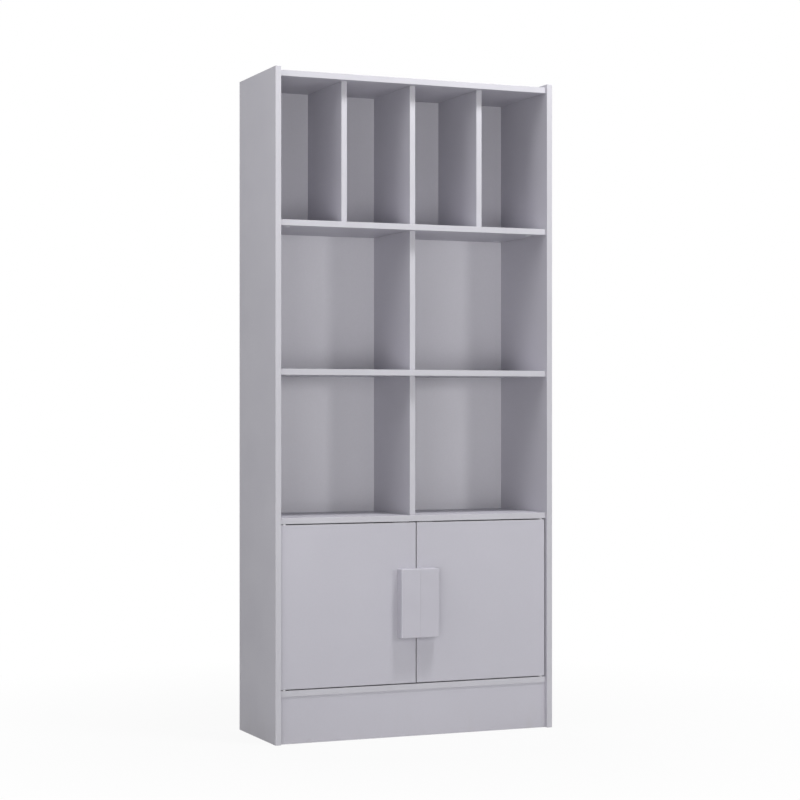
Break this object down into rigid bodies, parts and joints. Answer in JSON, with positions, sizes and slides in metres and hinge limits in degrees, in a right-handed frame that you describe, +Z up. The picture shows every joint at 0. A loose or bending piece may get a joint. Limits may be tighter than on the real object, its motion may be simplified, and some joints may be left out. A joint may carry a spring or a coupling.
{
  "type": "bookcase",
  "caption": "Tall free-standing bookcase with proud side panels, divided open rows of bays, and a base cabinet with inset pivot-hung doors under one block pull.",
  "frame": {"origin": "on the floor, in the middle of the footprint with the pulls included", "axes": "+X to the right seen from the front, +Y to the back, +Z up"},
  "size_m": [0.82, 0.32, 1.817],
  "materials": {
    "faced_board": "satin melamine facing, pale grey",
    "pull": "satin lacquered fibreboard, pale grey",
    "hardboard": "hardboard, painted pale grey in front",
    "beech": "bare beech",
    "steel": "zinc plated",
    "zinc": "die-cast zinc",
    "white_plastic": "moulded white nylon"
  },
  "bodies": {
    "carcass": {"back_nails": "steel", "back_panel_lower": "hardboard", "back_panel_upper": "hardboard", "bottom_panel": "faced_board", "cabinet_partition": "faced_board", "cabinet_top": "faced_board", "cam_bolts": "zinc", "cam_covers": "white_plastic", "cam_locks": "zinc", "catch_screws": "steel", "divider_lower": "faced_board", "divider_middle": "faced_board", "divider_top_centre": "faced_board", "divider_top_left": "faced_board", "divider_top_right": "faced_board", "dowels": "beech", "left_lower_pivot_pin": "steel", "left_magnetic_catch": "white_plastic", "left_side_panel": "faced_board", "left_upper_pivot_pin": "steel", "plinth_front": "faced_board", "plinth_rear": "faced_board", "right_lower_pivot_pin": "steel", "right_magnetic_catch": "white_plastic", "right_side_panel": "faced_board", "right_upper_pivot_pin": "steel", "shelf_middle": "faced_board", "shelf_upper": "faced_board", "top_panel": "faced_board", "wall_bracket": "steel", "wall_bracket_screws": "steel"},
    "left_door_leaf": {"left_door": "faced_board", "left_handle": "pull", "left_handle_screws": "steel", "left_lower_pivot_bush": "white_plastic", "left_strike_plate": "steel", "left_strike_screw": "steel", "left_upper_pivot_bush": "white_plastic"},
    "right_door_leaf": {"right_door": "faced_board", "right_handle": "pull", "right_handle_screws": "steel", "right_lower_pivot_bush": "white_plastic", "right_strike_plate": "steel", "right_strike_screw": "steel", "right_upper_pivot_bush": "white_plastic"}
  },
  "joints": [
    {"name": "left_door_hinge", "type": "hinge", "parent": "carcass", "child": "left_door_leaf", "pos_m": [-0.381, -0.123, 0.3645], "axis": [0, 0, -1], "range_deg": [0, 105]},
    {"name": "right_door_hinge", "type": "hinge", "parent": "carcass", "child": "right_door_leaf", "pos_m": [0.381, -0.123, 0.3645], "axis": [0, 0, 1], "range_deg": [0, 105]}
  ]
}
